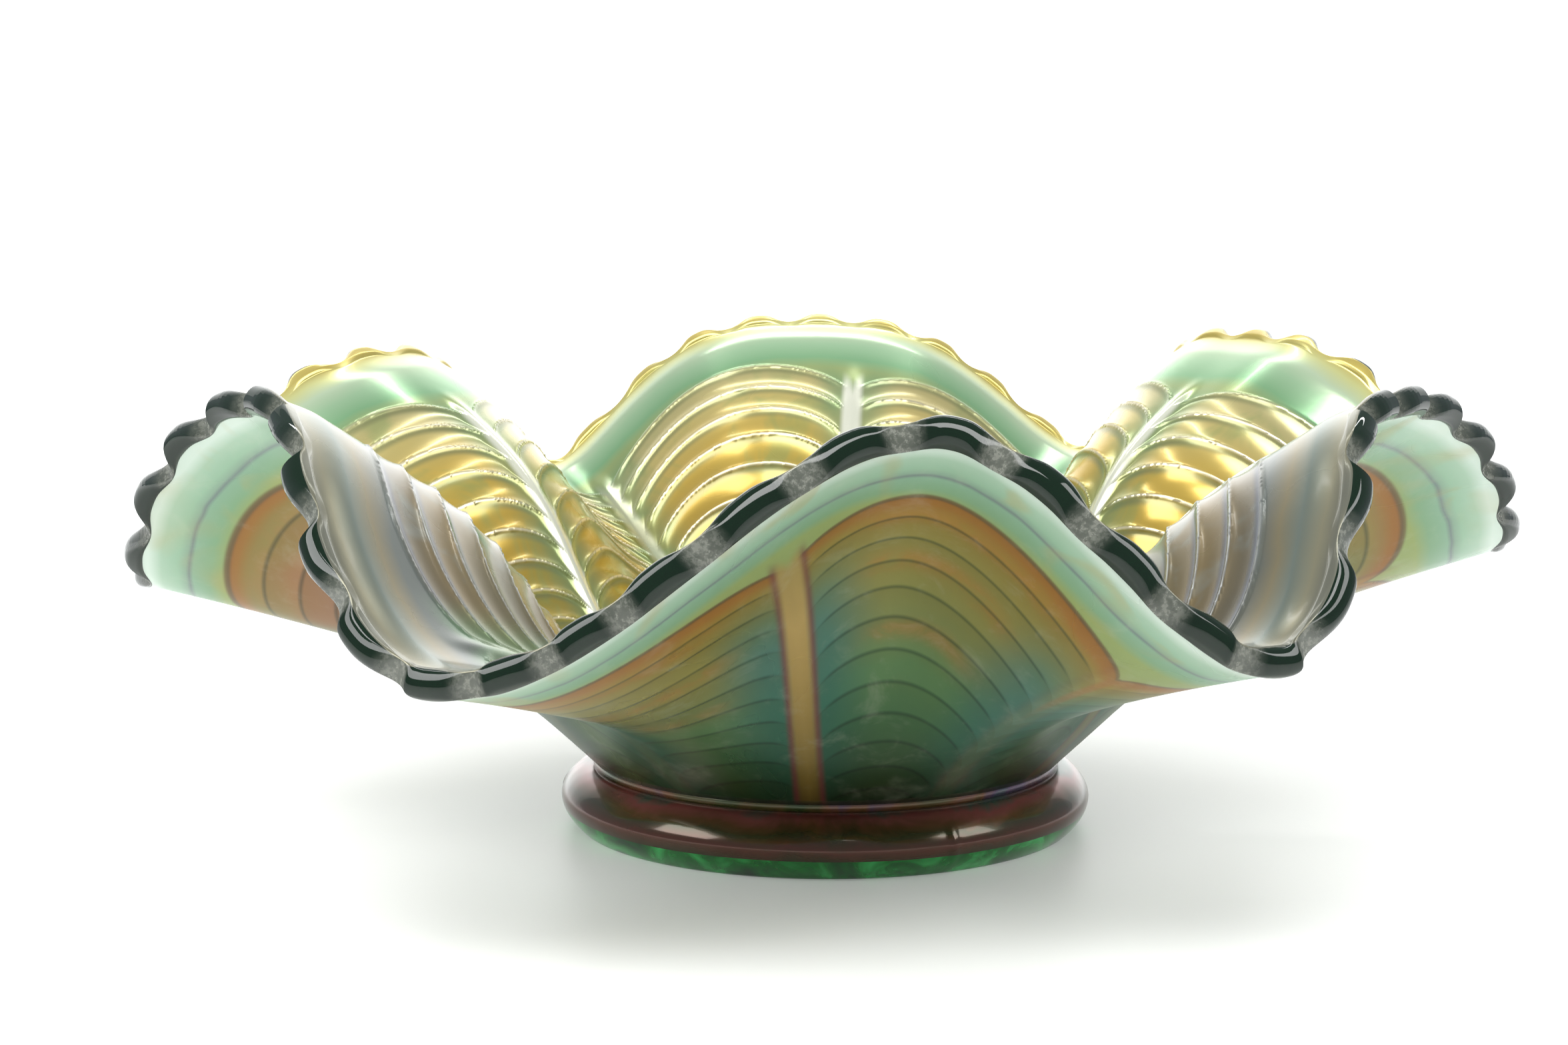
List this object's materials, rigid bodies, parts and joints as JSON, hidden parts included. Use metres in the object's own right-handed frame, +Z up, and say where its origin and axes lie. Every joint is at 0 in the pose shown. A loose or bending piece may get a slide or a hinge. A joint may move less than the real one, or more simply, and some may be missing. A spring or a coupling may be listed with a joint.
{
  "type": "footed bowl",
  "caption": "Round pressed-glass bowl with a deeply ruffled, scalloped rim, petal-and-arc relief inside and a low collar foot; green glass with a satin iridescent skin.",
  "frame": {"origin": "centre of the circle that the foot ring stands on", "axes": "+Z up along the bowl's axis; -Y towards the front, where one crest of the rim stands a little right of centre; +X to the right"},
  "size_m": [0.2296, 0.2115, 0.0799],
  "materials": {
    "iridescent_wall": "green glass under a satin iridescent film: mint under the rim, copper, olive gold and teal lower down",
    "pressed_base": "green glass under a satin iridescent film",
    "collar_foot": "glossy emerald glass with a maroon iridescent film above the bearing edge"
  },
  "bodies": {
    "root": {"foot_ring": "collar_foot", "base_disc": "pressed_base", "ruffle_1": "iridescent_wall", "ruffle_2": "iridescent_wall", "ruffle_3": "iridescent_wall", "ruffle_4": "iridescent_wall", "ruffle_5": "iridescent_wall", "ruffle_6": "iridescent_wall"}
  },
  "joints": []
}
